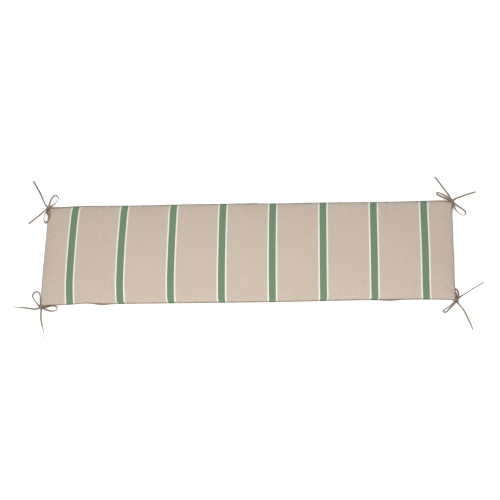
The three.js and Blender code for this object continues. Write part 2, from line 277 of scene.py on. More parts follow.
        # Puckers: short wrinkles that stand square to the seam and die away on the face.
        puckers = []
        for attribute, scale in ((LONG_PUCKER, self.pucker_scale), (END_PUCKER, self.pucker_scale[::-1])):
            place = add_node(tree, "ShaderNodeMapping", {"Vector": cloth, "Scale": (*scale, 1.0)})
            wrinkles = add_node(tree, "ShaderNodeTexNoise", {
                "Vector": place, "Scale": 1.0, "Detail": 1.5, "Roughness": 0.4,
            }, noise_dimensions="2D")
            near = add_node(tree, "ShaderNodeAttribute", attribute_name=attribute).outputs["Fac"]
            puckers.append(add_node(tree, "ShaderNodeMath", {0: wrinkles, 1: near}, operation="MULTIPLY"))
        gathered = add_node(tree, "ShaderNodeMath", {0: puckers[0], 1: puckers[1]}, operation="ADD")
        soft_bump = add_node(tree, "ShaderNodeBump", {
            "Strength": 1.0, "Distance": self.pucker_depth * MM, "Height": gathered,
        })
        height = add_node(tree, "ShaderNodeMath", {0: streaks, 1: 0.8, 2: weave}, operation="MULTIPLY_ADD")
        bump = add_node(tree, "ShaderNodeBump", {
            "Strength": 0.6, "Distance": self.thread_depth * MM, "Height": height, "Normal": soft_bump,
        })
        shader = add_node(tree, "ShaderNodeBsdfPrincipled", {
            "Base Color": colour,
            "Roughness": self.roughness,
            "IOR": 1.5,
            "Specular IOR Level": 0.25,
            "Sheen Weight": self.sheen,
            "Sheen Roughness": 0.5,
            "Normal": bump,
        })
        add_node(tree, "ShaderNodeOutputMaterial", {"Surface": shader})
        return material


@dataclass(frozen=True)
class StitchedTape:
    """Tape made of a strip of plain canvas, folded in and stitched along one edge.

    Several layers lie over each other, so it looks denser and browner than the cover, with a row of
    paler stitches and slightly fuzzy threads.
    """

    light: int = 0x8F7E6F
    # Painted shadow colour that the tie shade darkens the tape towards.
    dark: int = 0x6F5D4E
    shadow: int = 0x4A392D
    stitch: int = 0xA89B8C
    # Real threads lie 0.5 mm apart. They are drawn twice as coarse, so that they show from close by.
    thread: float = 1.0
    thread_depth: float = 0.08
    stitch_length: float = 2.6
    stitch_place: float = 2.0
    stitch_width: float = 0.3
    roughness: float = 0.88

    def material(self) -> bpy.types.Material:
        """Builds the tape's material, which reads the cloth UV map: across the tape, then along it."""
        material, tree = new_material("folded_stitched_tape")
        cloth = add_node(tree, "ShaderNodeUVMap", uv_map=CLOTH_UV)
        parts = add_node(tree, "ShaderNodeSeparateXYZ", {0: cloth})
        across, along = parts.outputs["X"], parts.outputs["Y"]

        beat = 2.0 * math.pi / (self.thread * MM)
        warp_turn = add_node(tree, "ShaderNodeMath", {0: across, 1: beat}, operation="MULTIPLY")
        weft_turn = add_node(tree, "ShaderNodeMath", {0: along, 1: beat}, operation="MULTIPLY")
        warp = add_node(tree, "ShaderNodeMath", {0: warp_turn}, operation="SINE")
        weft = add_node(tree, "ShaderNodeMath", {0: weft_turn}, operation="SINE")
        weave = add_node(tree, "ShaderNodeMath", {0: warp, 1: weft}, operation="MULTIPLY")
        patches = add_node(tree, "ShaderNodeTexNoise", {
            "Vector": cloth, "Scale": 110.0, "Detail": 3.0, "Roughness": 0.6,
        }, noise_dimensions="2D")
        tone = add_node(tree, "ShaderNodeMath", {0: weave, 1: 0.14, 2: patches}, operation="MULTIPLY_ADD")
        ground = add_node(tree, "ShaderNodeMix", {
            "Factor": tone, "A": linear_colour(self.dark), "B": linear_colour(self.light),
        }, data_type="RGBA")

        # One row of stitches near an edge: short raised dashes with a gap between them.
        off_row = add_node(tree, "ShaderNodeMath", {
            0: across, 1: self.stitch_place * MM, 2: self.stitch_width * MM,
        }, operation="COMPARE")
        stitches = add_node(tree, "ShaderNodeMath", {
            0: along, 1: self.stitch_length * MM,
        }, operation="DIVIDE")
        stitch_share = add_node(tree, "ShaderNodeMath", {0: stitches}, operation="FRACT")
        on_stitch = add_node(tree, "ShaderNodeMath", {0: stitch_share, 1: 0.7}, operation="LESS_THAN")
        stitch = add_node(tree, "ShaderNodeMath", {0: off_row, 1: on_stitch}, operation="MULTIPLY")
        colour = add_node(tree, "ShaderNodeMix", {
            "Factor": stitch, "A": ground, "B": linear_colour(self.stitch),
        }, data_type="RGBA")
        # Painted shade: the tape is darkened towards the shadow colour near the knots, along the roots and on
        # one face.
        tight = add_node(tree, "ShaderNodeAttribute", attribute_name=TIE_SHADE).outputs["Fac"]
        shaded = add_node(tree, "ShaderNodeMix", {
            "Factor": tight, "A": colour, "B": linear_colour(self.shadow),
        }, data_type="RGBA")
        height = add_node(tree, "ShaderNodeMath", {0: stitch, 1: 2.0, 2: weave}, operation="MULTIPLY_ADD")
        bump = add_node(tree, "ShaderNodeBump", {
            "Strength": 0.6, "Distance": self.thread_depth * MM, "Height": height,
        })
        shader = add_node(tree, "ShaderNodeBsdfPrincipled", {
            "Base Color": shaded,
            "Roughness": self.roughness,
            "IOR": 1.5,
            "Specular IOR Level": 0.3,
            "Sheen Weight": 0.1,
            "Sheen Roughness": 0.5,
            "Normal": bump,
        })
        add_node(tree, "ShaderNodeOutputMaterial", {"Surface": shader})
        return material


@dataclass
class Studio:
    """The photograph's camera, a pale floor and soft light. Its sizes are metres."""

    azimuth: float = 9.36
    elevation: float = 68.48
    roll: float = -9.51
    distance: float = 4.7404
    aim: tuple[float, float, float] = (0.01134, 0.00501, 0.03)
    lens: float = 93.6
    floor_size: float = 30.0
    floor_colour: int = 0xFCFCFC
    # The room is evenly bright but for a dark band low behind the cushion, which shades its back side.
    room_light: float = 0.88
    room_behind: float = 0.74
    floor_glow: float = 0.2

    def camera(self) -> None:
        """Makes the camera at the photograph's angle."""
        elevation, azimuth, roll = (math.radians(a) for a in (self.elevation, self.azimuth, self.roll))
        back = Vector((
            math.sin(azimuth) * math.cos(elevation),
            -math.cos(azimuth) * math.cos(elevation),
            math.sin(elevation),
        ))
        level = Vector((math.cos(azimuth), math.sin(azimuth), 0.0))
        right = Matrix.Rotation(roll, 3, back) @ level
        data = bpy.data.cameras.new("camera")
        data.lens = self.lens
        data.sensor_width = 36.0
        camera = bpy.data.objects.new("camera", data)
        place = Matrix((right, back.cross(right), back)).transposed().to_4x4()
        place.translation = Vector(self.aim) + back * self.distance
        camera.matrix_world = place
        bpy.context.scene.collection.objects.link(camera)
        bpy.context.scene.camera = camera

    def floor(self) -> None:
        """Makes the plain pale floor, lit from within like a light table, which keeps shadows faint."""
        bm = bmesh.new()
        bmesh.ops.create_grid(bm, x_segments=1, y_segments=1, size=self.floor_size / 2.0)
        floor = object_from(bm, "floor")
        material, tree = new_material("matt_pale_floor")
        shader = add_node(tree, "ShaderNodeBsdfPrincipled", {
            "Base Color": linear_colour(self.floor_colour), "Roughness": 0.95, "Specular IOR Level": 0.1,
            "Emission Color": linear_colour(self.floor_colour), "Emission Strength": self.floor_glow,
        })
        add_node(tree, "ShaderNodeOutputMaterial", {"Surface": shader})
        floor.data.materials.append(material)

    def softbox(self, name: str, place: tuple[float, float, float], size: float, power: float) -> None:
        """Adds a square softbox that faces the cushion's middle.

        Args:
            name: The light's name.
            place: Where it stands.
            size: Its side.
            power: Its power in watts.
        """
        data = bpy.data.lights.new(name, "AREA")
        data.size = size
        data.energy = power
        light = bpy.data.objects.new(name, data)
        light.location = place
        light.rotation_euler = (-Vector(place)).to_track_quat("-Z", "Y").to_euler()
        bpy.context.scene.collection.objects.link(light)

    def lights(self) -> None:
        """Adds the softboxes and the even light of the room."""
        self.softbox("front_softbox", (-0.1, -1.3, 1.9), 1.3, 23.5)
        self.softbox("top_softbox", (0.0, -0.3, 2.1), 1.3, 15.5)
        world = bpy.data.worlds.new("studio")
        world.use_nodes = True
        tree = world.node_tree
        tree.nodes.clear()
        direction = add_node(tree, "ShaderNodeTexCoord").outputs["Generated"]
        parts = add_node(tree, "ShaderNodeSeparateXYZ", {0: direction})
        strength = add_node(tree, "ShaderNodeMapRange", {
            "Value": parts.outputs["Y"], "From Min": 0.35, "From Max": 0.8,
            "To Min": self.room_light, "To Max": self.room_behind,
        }, interpolation_type="SMOOTHSTEP")
        background = add_node(tree, "ShaderNodeBackground", {
            "Color": linear_colour(0xFFFFFF), "Strength": strength,
        })
        add_node(tree, "ShaderNodeOutputWorld", {"Surface": background})
        bpy.context.scene.world = world
        bpy.context.scene.view_settings.view_transform = "Standard"


@dataclass
class TapeRun:
    """A flat tape along a line, ready to be swept.

    points are the line's close points, faces the way of the tape's width at each, narrowing its
    share of the full width, and shades how far it is darkened with painted shade. The wrong side is
    darkened with painted shade too.
    """

    width: float = 7.0
    thickness: float = 1.5
    sides: int = 16
    points: list[Vector] = field(default_factory=list)
    faces: list[Vector] = field(default_factory=list)
    narrowing: list[float] = field(default_factory=list)
    shades: list[float] = field(default_factory=list)
    # Painted shade on the wrong side: one face of the tape is darkened towards the shadow colour.
    wrong_side_painted_shade: float = 0.3

    def length(self) -> float:
        """Returns the line's length."""
        return sum((b - a).length for a, b in zip(self.points, self.points[1:]))

    def section(self, bm: bmesh.types.BMesh) -> list[bmesh.types.BMVert]:
        """Adds the tape's section as a flat ring about the origin, wide in X and thin in Y.

        Args:
            bm: The mesh that gets it.

        Returns:
            The ring's points in order.
        """
        ring = bmesh.ops.create_circle(bm, segments=self.sides, radius=1.0)["verts"]
        for vert in ring:
            # A circle squared up until it is a bar with rounded edges.
            x, y = (math.copysign(abs(value) ** 0.55, value) for value in vert.co.xy)
            vert.co = Vector((x * self.width / 2, y * self.thickness / 2, 0.0))
        return ring

    def sweep(self, bm: bmesh.types.BMesh, closed: bool = False) -> None:
        """Adds the swept tape to a mesh, with its cloth UV map.

        Args:
            bm: The mesh that gets it.
            closed: Whether the line is a ring.
        """
        uv = bm.loops.layers.uv.get(CLOTH_UV) or bm.loops.layers.uv.new(CLOTH_UV)
        shade = bm.verts.layers.float.get(TIE_SHADE) or bm.verts.layers.float.new(TIE_SHADE)
        ring = self.section(bm)
        shape = [vert.co.copy() for vert in ring]
        first_edges = [next(edge for edge in a.link_edges if edge.other_vert(a) is b)
                       for a, b in zip(ring, ring[1:] + ring[:1])]
        edges = first_edges
        place: dict[bmesh.types.BMVert, tuple[float, float]] = {}
        count = len(self.points)
        travelled = 0.0
        for i in range(count):
            before = self.points[i - 1] if i or closed else self.points[i]
            after = self.points[(i + 1) % count] if i + 1 < count or closed else self.points[i]
            heading = (after - before).normalized()
            wide = (self.faces[i] - heading * self.faces[i].dot(heading)).normalized()
            thin = heading.cross(wide)
            if i:
                travelled += (self.points[i] - self.points[i - 1]).length
                made = bmesh.ops.extrude_edge_only(bm, edges=edges)["geom"]
                new = {part for part in made if isinstance(part, bmesh.types.BMVert)}
                edges = [part for part in made if isinstance(part, bmesh.types.BMEdge)
                         and part.verts[0] in new and part.verts[1] in new]
                ring = [next(e.other_vert(vert) for e in vert.link_edges if e.other_vert(vert) in new)
                        for vert in ring]
            for vert, co in zip(ring, shape):
                vert.co = self.points[i] + wide * (co.x * self.narrowing[i]) + thin * co.y
                # Painted shade: the tie's own shade, and the painted shade of the wrong side on one face.
                vert[shade] = max(self.shades[i], self.wrong_side_painted_shade if co.y < 0.0 else 0.0)
                place[vert] = (co.x * MM, travelled * MM)
        if closed:
            bmesh.ops.bridge_loops(bm, edges=edges + first_edges)
        else:
            for end in (first_edges, edges):
                for cap in bmesh.ops.edgeloop_fill(bm, edges=end)["faces"]:
                    for edge in cap.edges:
                        edge.smooth = False
        for face in bm.faces:
            for loop in face.loops:
                if loop.vert in place:
                    loop[uv].uv = place[loop.vert]


@dataclass
class Strand:
    """One strand of a bow: its root at the seam, its loop and its free tail.

    A row is x and y from the cushion's corner, the height above the floor, and the tape's turn about
    its run in degrees, 0 lying flat and 90 on edge.
    """

    root: list[Row]
    loop: list[Row]
    tail: list[Row]
    step: float = 1.6

    def rows(self) -> list[Row]:
        """Returns the whole route's rows; root and tail run on into the loop inside the knot."""
        return self.root[:-1] + self.loop + self.tail[1:]

    def run(self, corner: Vector, knot: Vector, seed: float) -> TapeRun:
        """Follows the route as one smooth line.

        Args:
            corner: The cushion's corner.
            knot: The middle of the bow's knot.
            seed: Sets the strand's own slight waviness.

        Returns:
            The tape's line with its turns, pinched where it goes through the knot.
        """
        rows = self.rows()
        places = [corner + Vector(row[:3]) for row in rows]
        ends = [2 * places[0] - places[1]] + places + [2 * places[-1] - places[-2]]
        run = TapeRun()
        turns: list[float] = []
        rooted: list[bool] = []
        for i in range(len(places) - 1):
            a, b, c, d = ends[i:i + 4]
            steps = max(2, math.ceil((c - b).length / self.step))
            gaps = [max((q - p).length ** 0.5, 1e-3) for p, q in ((a, b), (b, c), (c, d))]
            leave = ((b - a) / gaps[0] - (c - a) / (gaps[0] + gaps[1]) + (c - b) / gaps[1]) * gaps[1]
            reach = ((c - b) / gaps[1] - (d - b) / (gaps[1] + gaps[2]) + (d - c) / gaps[2]) * gaps[1]
            last = i == len(places) - 2
            for k in range(steps + last):
                t = k / steps
                run.points.append(
                    b + leave * t + (3 * (c - b) - 2 * leave - reach) * t ** 2
                    + (2 * (b - c) + leave + reach) * t ** 3
                )
                turns.append(between(rows[i][3], rows[i + 1][3], t))
                rooted.append(i < len(self.root) - 1)
        travelled = 0.0
        for i, point in enumerate(run.points):
            before, after = run.points[max(i - 1, 0)], run.points[min(i + 1, len(run.points) - 1)]
            heading = (after - before).normalized()
            travelled += (after - before).length / 2
            sway = 7.0 * noise.noise(Vector((travelled * 0.035, seed, 0.0)))
            level = Vector((0.0, 0.0, 1.0)).cross(heading).normalized()
            wide = Matrix.Rotation(math.radians(turns[i] + sway), 3, heading) @ level
            if run.faces and wide.dot(run.faces[-1]) < 0:
                wide.negate()
            run.faces.append(wide)
            run.narrowing.append(1.0 - 0.22 * bell((point - knot).length, 9.0))
            # Painted shade: half along the root, and most near the knot.
            run.shades.append(max(0.5 if rooted[i] else 0.0, 0.9 * bell((point - knot).length, 13.0)))
        return run


@dataclass
class CornerTie:
    """A pair of strands tied in a bow at one corner of the cushion.

    The part's source holds the same routes. heading is the way of the knot's middle line in degrees,
    which both loops leave along.
    """

    name: str
    side: tuple[int, int]
    knot: tuple[float, float, float]
    heading: float
    strands: list[Strand]
    half_length: float = 752.0
    half_depth: float = 194.5
    band_half_width: float = 7.4
    band_half_height: float = 5.8

    def corner(self) -> Vector:
        """Returns the cushion's corner, on the floor."""
        return Vector((self.side[0] * self.half_length, self.side[1] * self.half_depth, 0.0))

    def build(self, material: bpy.types.Material) -> None:
        """Args:
            material: The tape's finish.
        """
        knot = self.knot_piece(material)
        middle = self.corner() + Vector(self.knot)
        for number, strand in enumerate(self.strands, start=1):
            run = strand.run(self.corner(), middle, seed=number * 3.7 + self.heading)
            bm = bmesh.new()
            run.sweep(bm)
            bmesh.ops.recalc_face_normals(bm, faces=bm.faces)
            bmesh.ops.scale(bm, vec=(MM, MM, MM), verts=bm.verts)
            piece = object_from(bm, f"{self.name}_strand_{number}")
            dress(piece, material, self.name)
            round(run.length() * MM, 3)
            LOG.info("%s is %.0f mm long", piece.name, run.length())

    def turn_of_tape(self, middle: Vector, heading: float, size: float) -> TapeRun:
        """Lays one turn of tape round the middle of the bow, with painted shade: light on top and dark at its
        sides.

        Args:
            middle: The middle of the knot.
            heading: The way of the line that it goes round, in radians.
            size: Its size as a share of the band's.

        Returns:
            The closed line.
        """
        axis = Vector((math.cos(heading), math.sin(heading), 0.0))
        sideways = Vector((-math.sin(heading), math.cos(heading), 0.0))
        band = TapeRun(width=6.4)
        steps = 36
        for i in range(steps):
            angle = 2 * math.pi * i / steps
            outward = sideways * math.cos(angle) * self.band_half_width * size
            outward.z = math.sin(angle) * self.band_half_height * size
            band.points.append(middle + outward + axis * 0.9 * math.sin(angle + 0.6))
            band.faces.append(axis + sideways * 0.22 * math.cos(angle))
            band.narrowing.append(1.0 + 0.1 * math.sin(2 * angle + self.heading))
            # Painted shade: light on top of the band, dark at its sides.
            band.shades.append(0.85 - 0.8 * smooth_step(math.sin(angle), 0.35, 0.95))
        return band

    def knot_piece(self, material: bpy.types.Material) -> bpy.types.Object:
        """Builds the knot: two turns of tape pulled tight round the bunched middle of the bow.

        Args:
            material: The tape's finish.

        Returns:
            The knot's object.
        """
        middle = self.corner() + Vector(self.knot)
        turn = math.radians(self.heading)
        axis = Vector((math.cos(turn), math.sin(turn), 0.0))
        sideways = Vector((-math.sin(turn), math.cos(turn), 0.0))
        turns = [self.turn_of_tape(middle, turn, 1.0), self.turn_of_tape(middle, turn + 0.85, 1.1)]
        bm = bmesh.new()
        uv = bm.loops.layers.uv.new(CLOTH_UV)
        shade = bm.verts.layers.float.new(TIE_SHADE)
        bunch = bmesh.ops.create_uvsphere(bm, u_segments=20, v_segments=12, radius=1.0)["verts"]
        bmesh.ops.scale(bm, vec=(8.2, 5.6, 4.7), verts=bunch)
        for vert in bunch:
            fold = noise.noise(Vector((vert.co.x * 0.12, vert.co.y * 0.75, vert.co.z * 0.75)))
            vert.co *= 1.0 + 0.14 * fold
            # Painted shade: darker in the bunch's hollow folds, lighter on its rises.
            vert[shade] = 0.85 - 0.5 * fold
        bmesh.ops.rotate(bm, matrix=Matrix.Rotation(turn, 3, "Z"), verts=bunch)
        bmesh.ops.translate(bm, vec=middle, verts=bunch)
        for loop in (loop for face in bm.faces for loop in face.loops):
            reach = loop.vert.co - middle
            loop[uv].uv = (reach.dot(sideways) * MM, reach.dot(axis) * MM)
        for band in turns:
            band.sweep(bm, closed=True)
        bmesh.ops.recalc_face_normals(bm, faces=bm.faces)
        bmesh.ops.scale(bm, vec=(MM, MM, MM), verts=bm.verts)
        piece = object_from(bm, f"{self.name}_knot")
        dress(piece, material, self.name)
        return piece


TIES = [
    CornerTie("tie_back_left", (-1, 1), (6.5, -5.5, 15.5), 72, [
        Strand(
            root=[(8, -36, 17, 80), (3.5, -27, 17, 78), (3, -16, 16.5, 65), (5.5, -8.5, 16, 30)],
            loop=[(6.5, -6.5, 13.2, 0), (6, 7.5, 11, 15), (7.5, 22, 7, 30), (11.5, 36.5, 4.8, 45),
                  (17.5, 47, 4.2, 50), (26, 51.5, 4.2, 52), (34, 48, 4.2, 52), (38, 38.5, 4.8, 50),
                  (34, 26.5, 7, 45), (24, 12.5, 12, 30), (15, 1.5, 16, 15), (7.5, -4.5, 17.4, 0)],
            tail=[(6.5, -5.5, 15, 10), (-8.5, -10.5, 9, 15), (-23.5, -22, 3.4, 5), (-39.5, -35, 1.1, 0),
                  (-55, -48.5, 1, 0), (-70, -61.5, 1, 0)],
        ),
        Strand(
            root=[(6.2, -36, 17, 80), (1.5, -27, 16.6, 78), (0.5, -16.5, 15.5, 65), (3.5, -8.5, 14, 30)],
            loop=[(5.5, -7.5, 12.4, 0), (-4, -18.5, 9.5, 40), (-11, -32, 5.5, 60), (-12.5, -44.5, 4.2, 62),
                  (-9, -55.5, 5.8, 55), (-4.5, -61.5, 12, 40), (5, -63, 21, 20), (11, -58.5, 27, 0),
                  (14.5, -47, 30.5, 0), (13.5, -33, 29, 0), (11, -18.5, 23, 0), (7, -7, 17.8, 0)],
            tail=[(6.5, -5.5, 15, 10), (-8.5, 11.5, 9, 40), (-19.5, 32.5, 4, 50), (-27.5, 51.5, 2.2, 20),
                  (-39.5, 73.5, 1, 0), (-51.5, 94, 1, 0), (-63.5, 114.5, 1, 0)],
        ),
    ]),
    CornerTie("tie_front_left", (-1, -1), (4, -5, 13), -37, [
        Strand(
            root=[(48, 1, 17, 80), (33, -3, 16.8, 78), (19, -5.5, 16, 65), (8, -6, 14.5, 30)],
            loop=[(5, -5.5, 11.2, 0), (19.5, -3, 8, 15), (34, 1, 6, 20), (46.5, 2.5, 4.6, 30),
                  (56, -1.5, 4.2, 45), (60.5, -8, 4.2, 50), (56.5, -15, 4.2, 40), (43.5, -18.5, 4.6, 28),
                  (27.5, -16, 7, 20), (14, -11, 11, 10), (5, -5, 15, 0)],
            tail=[(4, -5, 13, 10), (-9, -9, 8.5, 15), (-21, -9.5, 4, 5), (-37, -7, 1.4, 0),
                  (-54.5, -4, 1.3, 4), (-71, -2.8, 3, 30), (-86, -1.5, 3.8, 52), (-100.5, 0.5, 3.7, 48)],
        ),
        Strand(
            root=[(48, -0.8, 17, 80), (33, -5, 16.4, 78), (19, -8, 15, 65), (8, -8.5, 12.5, 30)],
            loop=[(4, -4, 11, 0), (-7.5, 3, 8.5, 30), (-19, 17, 5.5, 55), (-30, 31.5, 4.2, 52),
                  (-33.5, 43, 4.2, 52), (-28.5, 53, 4.2, 52), (-19, 57, 4.2, 52), (-9.5, 51.5, 4.6, 50),
                  (-5.5, 40.5, 6, 50), (-3, 24.5, 8.5, 40), (-0.5, 9, 11.5, 25), (4, -3.5, 15.4, 0)],
            tail=[(4, -5, 13, 10), (3, -18, 8.5, 15), (2.2, -32, 4, 8), (3, -46.5, 1.4, 0),
                  (6, -62, 1.8, 10), (10.5, -77, 3.4, 40), (16, -96, 4, 70), (21, -119.5, 4, 76)],
        ),
    ]),
    CornerTie("tie_back_right", (1, 1), (-0.5, -3, 15), -37, [
        Strand(
            root=[(-3, -36, 17, 80), (2, -26, 17, 78), (1.5, -16, 16.5, 65), (0, -7, 16, 30)],
            loop=[(-1, -2.5, 13.2, 0), (-10.5, 11.5, 11, 10), (-24, 24.5, 8, 20), (-38.5, 34.5, 5, 30),
                  (-48.5, 39.5, 4.2, 45), (-54, 38, 4.2, 50), (-52, 31.5, 4.5, 50), (-42, 23, 6.5, 45),
                  (-27.5, 14.5, 10, 35), (-13, 5, 14, 15), (-0.5, -3, 17.4, 0)],
            tail=[(-0.5, -3, 15, 10), (11, 8, 10, 15), (23.5, 16, 5, 8), (36, 22, 1.8, 0),
                  (48.5, 26.5, 1, 0), (61.5, 31, 1, 0), (76.5, 35.5, 1, 0), (90.5, 40, 1, 0)],
        ),
        Strand(
            root=[(-1.2, -36, 17, 80), (4, -26, 16.6, 78), (3.5, -16, 14.6, 65), (2, -7, 12.6, 30)],
            loop=[(0, -4, 12.6, 0), (13, -12.5, 10, 15), (27.5, -23, 7, 25), (41.5, -33, 4.6, 35),
                  (48.5, -41.5, 4.2, 45), (47.5, -49.5, 4.2, 52), (40.5, -53.5, 4.2, 52),
                  (29.5, -50, 4.6, 50), (17.5, -40, 7, 45), (9, -25, 12, 30), (3, -10, 16, 10),
                  (-0.5, -3.5, 17.6, 0)],
            tail=[(-0.5, -3, 15, 10), (-5.5, 15.5, 8, 15), (-12.5, 33.5, 3, 5), (-21.5, 48, 1.2, 0),
                  (-34, 68, 1, 0), (-45.5, 85.5, 1, 0), (-57, 104, 1, 0)],
        ),
    ]),
    CornerTie("tie_front_right", (1, -1), (-3, 1.5, 13), 58, [
        Strand(
            root=[(-7.5, 34, 17, 80), (-2, 24, 16.8, 78), (-2.5, 14.5, 16, 65), (-3, 5.5, 14.5, 30)],
            loop=[(-3, 2, 11.2, 0), (-5, 11.5, 8, 35), (-5.5, 25, 5.5, 50), (-4.5, 37.5, 4.2, 52),
                  (-3, 48, 4.2, 52), (1.5, 47, 4.2, 52), (6, 38, 5, 50), (7.5, 24.5, 8, 45),
                  (3, 10.5, 12.5, 20), (-3, 1.5, 15.2, 0)],
            tail=[(-3, 1.5, 13, 10), (4.5, 10.5, 9.5, 30), (15, 19, 6, 58), (26.5, 26.8, 4.3, 68),
                  (43.5, 37.8, 4.1, 76), (60, 48.8, 4.1, 78), (79.5, 60.3, 4.1, 78), (99, 72.3, 4, 72)],
        ),
        Strand(
            root=[(-5.7, 34, 17, 80), (0, 24, 16.4, 78), (0, 14.5, 15, 65), (-0.5, 5.5, 12.5, 30)],
            loop=[(-3, 1, 11, 0), (-14, -7.5, 9, 25), (-25, -16, 6.5, 45), (-37.5, -23.5, 4.6, 50),
                  (-47, -29, 4.2, 52), (-49.5, -35, 4.2, 52), (-43, -39.5, 4.2, 50), (-32.5, -32.5, 5.5, 45),
                  (-20.5, -20.5, 8.5, 35), (-9.5, -8.5, 12, 15), (-3, 1.5, 15, 0)],
            tail=[(-3, 1.5, 13, 10), (4, -8, 9.5, 38), (15, -20.5, 5.2, 60), (24.5, -34, 3.4, 42),
                  (31, -47.5, 2.2, 16), (37, -62.5, 2.4, 20), (43.5, -80.5, 3.8, 55),
                  (51.5, -104.5, 4.1, 76)],
        ),
    ]),
]


@dataclass(frozen=True)
class Crease:
    """A soft trough in the face that runs from x, y along its heading in degrees."""

    x: float
    y: float
    heading: float
    reach: float
    width: float
    depth: float

    def depth_at(self, x: float, y: float) -> float:
        """Returns how far it pulls the face down at a point."""
        turn = math.radians(self.heading)
        along = (x - self.x) * math.cos(turn) + (y - self.y) * math.sin(turn)
        across = (y - self.y) * math.cos(turn) - (x - self.x) * math.sin(turn)
        fade = 1.0 - smooth_step(along, 0.0, self.reach)
        return self.depth * fade * bell(min(along, 0.0), self.width) * bell(across, self.width)


@dataclass(frozen=True)
class Wave:
    """A slow unevenness over the cover's grid."""

    height: float
    along_rate: float
    along_start: float
    across_rate: float
    across_start: float

    def at(self, u: float, v: float) -> float:
        """Returns its height at a grid point."""
        return (self.height * math.sin(u * self.along_rate + self.along_start)
                * math.cos(v * self.across_rate + self.across_start))


@dataclass(frozen=True)
class Pull:
    """A bend in a side: the place along it from -1 to 1, how far it reaches, and its depth in mm."""

    place: float
    reach: float
    depth: float

    def at(self, place: float) -> float:
        """Returns how far the side is pulled in there."""
        return self.depth * bell(place - self.place, self.reach)


